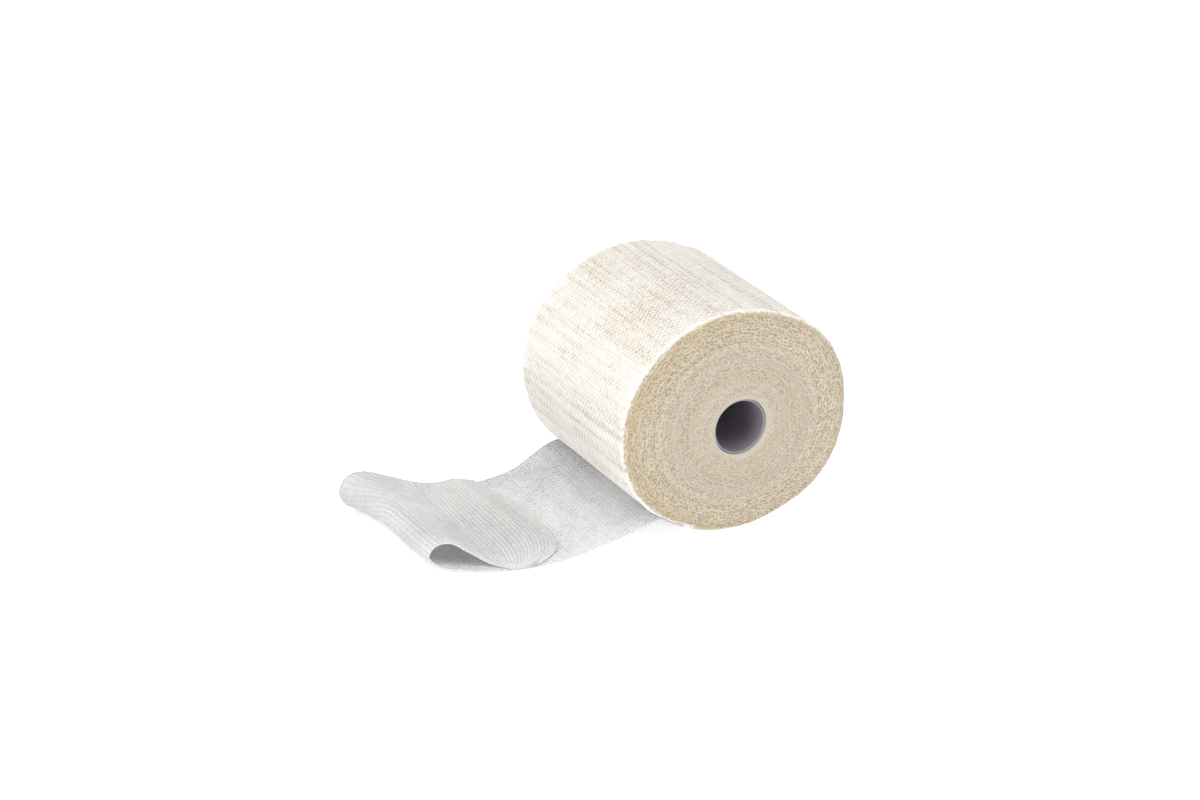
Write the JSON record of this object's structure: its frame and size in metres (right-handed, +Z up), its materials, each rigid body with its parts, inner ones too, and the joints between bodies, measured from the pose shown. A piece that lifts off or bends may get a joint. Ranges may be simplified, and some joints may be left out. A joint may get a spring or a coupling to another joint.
{
  "type": "elastic bandage roll",
  "caption": "Roll of knitted elastic bandage wound on a thin plastic core tube, lying on its side with its loose end drawn out and folded back on itself.",
  "frame": {"origin": "middle of the flat spot under the roll, on the surface on which it rests", "axes": "+Z up, Y along the roll's axis with the shown end face towards -Y, and -X the way the loose end leaves"},
  "size_m": [0.2103, 0.1012, 0.1064],
  "materials": {
    "wound_knit": "cream cotton and elastane knit with fine crosswise ribs, yellower and loopy on the end faces",
    "loose_knit": "off-white single layer of the same knit, slightly sheer, with tiny holes between the ribs",
    "core_plastic": "smooth pale lilac-grey plastic with a soft gloss"
  },
  "bodies": {
    "root": {"roll": "wound_knit", "loose_end": "loose_knit", "core_tube": "core_plastic"}
  },
  "joints": []
}
